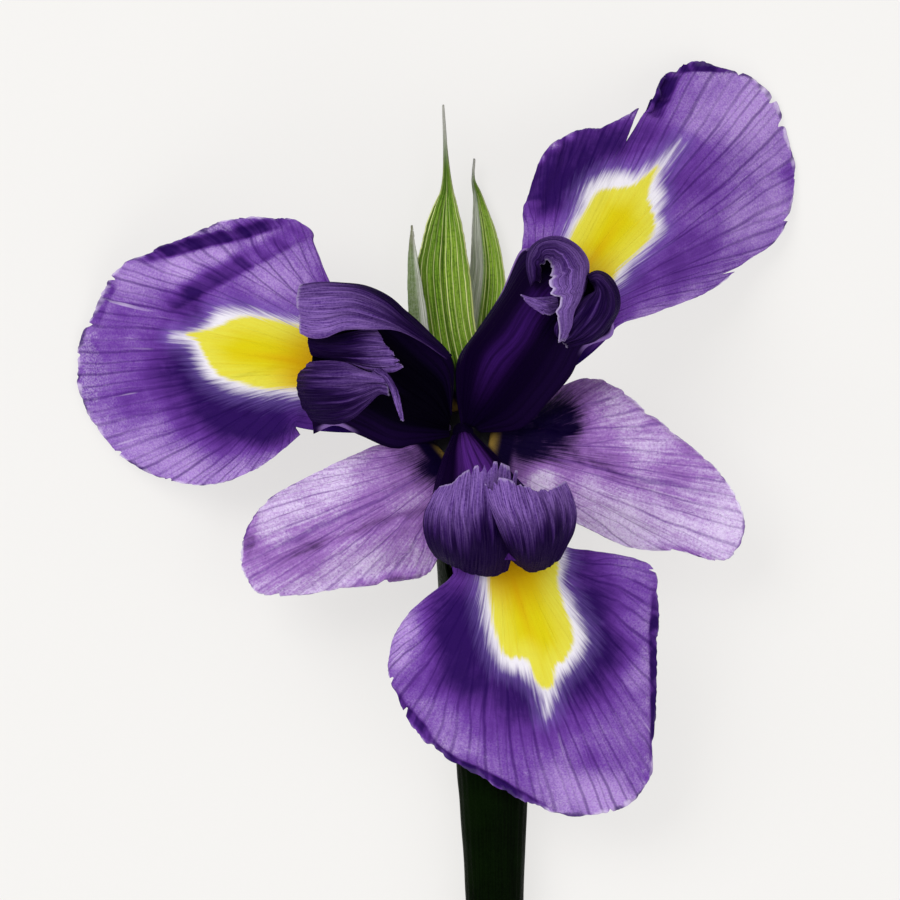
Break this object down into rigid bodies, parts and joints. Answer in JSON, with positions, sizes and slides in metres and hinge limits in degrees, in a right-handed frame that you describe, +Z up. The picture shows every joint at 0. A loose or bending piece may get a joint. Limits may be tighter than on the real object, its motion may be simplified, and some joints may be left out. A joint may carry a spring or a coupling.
{
  "type": "iris flower",
  "caption": "Cut Dutch iris flower lying down: broad drooping falls, narrow standards, crested style arms, stamens, papery green spathe bracts and a short cut stem.",
  "frame": {"origin": "under the middle of the flower's bounding box, on the surface it lies on", "axes": "+Z up from the surface; +Y along the stem from the cut end towards the bract tips; +X to the right of the flower seen from above"},
  "size_m": [0.117, 0.18, 0.0561],
  "materials": {
    "fall_petal": "satin",
    "standard_petal": "satin",
    "style": "satin",
    "filament": "satin",
    "pollen": "matte",
    "tube": "satin",
    "bract": "satin",
    "membrane": "satin",
    "stem": "satin"
  },
  "bodies": {
    "root": {"fall_left": "fall_petal", "fall_right": "fall_petal", "fall_lower": "fall_petal", "standard_left": "standard_petal", "standard_right": "standard_petal", "standard_back": "standard_petal", "style_arm_left": "style", "style_arm_right": "style", "style_arm_lower": "style", "style_column": "style", "filament_left": "filament", "filament_right": "filament", "filament_lower": "filament", "anther_left": "pollen", "anther_right": "pollen", "anther_lower": "pollen", "perianth_tube": "tube", "ovary": "bract", "pedicel": "bract", "outer_bract": "bract", "inner_bract": "bract", "membrane_bract": "membrane", "stem": "stem"}
  },
  "joints": []
}
